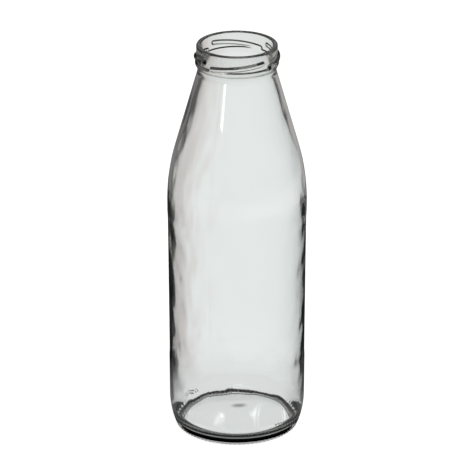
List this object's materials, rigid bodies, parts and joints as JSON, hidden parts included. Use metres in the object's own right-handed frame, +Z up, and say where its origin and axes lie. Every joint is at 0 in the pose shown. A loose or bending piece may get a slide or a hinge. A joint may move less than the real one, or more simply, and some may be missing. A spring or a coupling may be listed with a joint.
{
  "type": "glass milk bottle",
  "caption": "Clear glass milk bottle with a wide mouth, twist-off lugs, a straight cone neck, round shoulders and a shallow label panel.",
  "frame": {"origin": "on the bottle's axis, in the plane of the flat bearing ring that it stands on", "axes": "+Z up along the bottle's axis, out of the mouth; the lugs are centred on +X, +Y, -X and -Y"},
  "size_m": [0.0788, 0.0788, 0.2305],
  "materials": {
    "clear_glass": "clear, fire-polished, faintly cool"
  },
  "bodies": {
    "root": {"glass_bottle": "clear_glass"}
  },
  "joints": []
}
